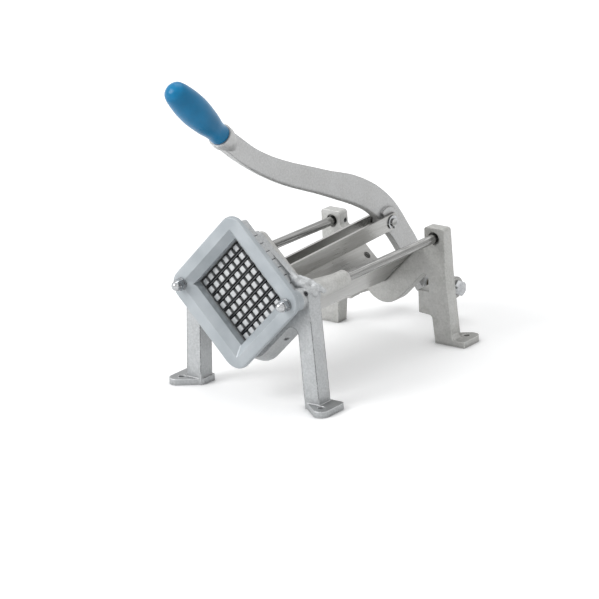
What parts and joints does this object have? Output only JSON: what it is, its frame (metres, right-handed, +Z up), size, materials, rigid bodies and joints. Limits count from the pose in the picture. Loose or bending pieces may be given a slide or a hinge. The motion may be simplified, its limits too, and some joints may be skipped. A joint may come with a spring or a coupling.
{
  "type": "french fry cutter",
  "caption": "Bench-mounted lever press: a long lever drives a pegged pusher along two rods and a V trough, forcing a potato through a square blade grid set on its corner.",
  "frame": {"origin": "centre of the four bench bolt holes, at bench level", "axes": "+X to the right seen from the blade grid, +Y from the blade grid to the lever pivot, +Z up"},
  "size_m": [0.1954, 0.3966, 0.3318],
  "materials": {
    "casting": "satin cast and tumbled",
    "lever_casting": "satin, ground on the flat sides",
    "painted_casting": "semi-gloss grey enamel",
    "pusher_casting": "satin cast",
    "sheet_steel": "fine brushed, bright",
    "polished_steel": "ground and polished",
    "blade_steel": "bright rolled with ground edges",
    "plated_steel": "bright zinc or nickel plate",
    "dark_steel": "black oxide",
    "bronze": "sintered bronze",
    "bush_plastic": "natural bearing plastic",
    "grip_plastic": "glossy dipped vinyl, blue"
  },
  "bodies": {
    "frame": {"front_frame": "casting", "front_cover": "painted_casting", "cover_washers": "plated_steel", "cover_nuts": "plated_steel", "front_blades": "blade_steel", "rear_blades": "blade_steel", "guide_rod_right": "polished_steel", "guide_rod_left": "polished_steel", "rod_set_screws": "dark_steel", "rear_frame": "casting", "trough": "sheet_steel", "trough_screws": "plated_steel", "pivot_bolt": "plated_steel", "pivot_nut": "plated_steel"},
    "pusher": {"pusher_block": "pusher_casting", "pusher_carriage": "pusher_casting", "block_screws": "dark_steel", "slide_bushes": "bush_plastic", "pusher_pin_head": "plated_steel", "pusher_pin_nut": "plated_steel"},
    "lever": {"lever_arm": "lever_casting", "pivot_bush": "bronze", "link_pin": "polished_steel", "pin_clips": "dark_steel", "grip": "grip_plastic"},
    "links": {"link_right": "sheet_steel", "link_left": "sheet_steel", "pusher_pin": "polished_steel", "link_spacer": "sheet_steel"}
  },
  "joints": [
    {"name": "lever_pivot", "type": "hinge", "parent": "frame", "child": "lever", "pos_m": [0, 0.1725, 0.035], "axis": [-1, 0, 0], "range_deg": [0, 77]},
    {"name": "pusher_slide", "type": "slide", "parent": "frame", "child": "pusher", "axis": [0, 1, 0], "range_m": [0, 0.1345]},
    {"name": "link_pivot", "type": "hinge", "parent": "lever", "child": "links", "pos_m": [0, 0.105, 0.1193], "axis": [-1, 0, 0], "range_deg": [-77.5, 0]}
  ],
  "couplings": [
    {"joint": "pusher_slide", "follows": "lever_pivot", "m_per_rad": 0.1},
    {"joint": "link_pivot", "follows": "lever_pivot", "ratio": -1}
  ]
}
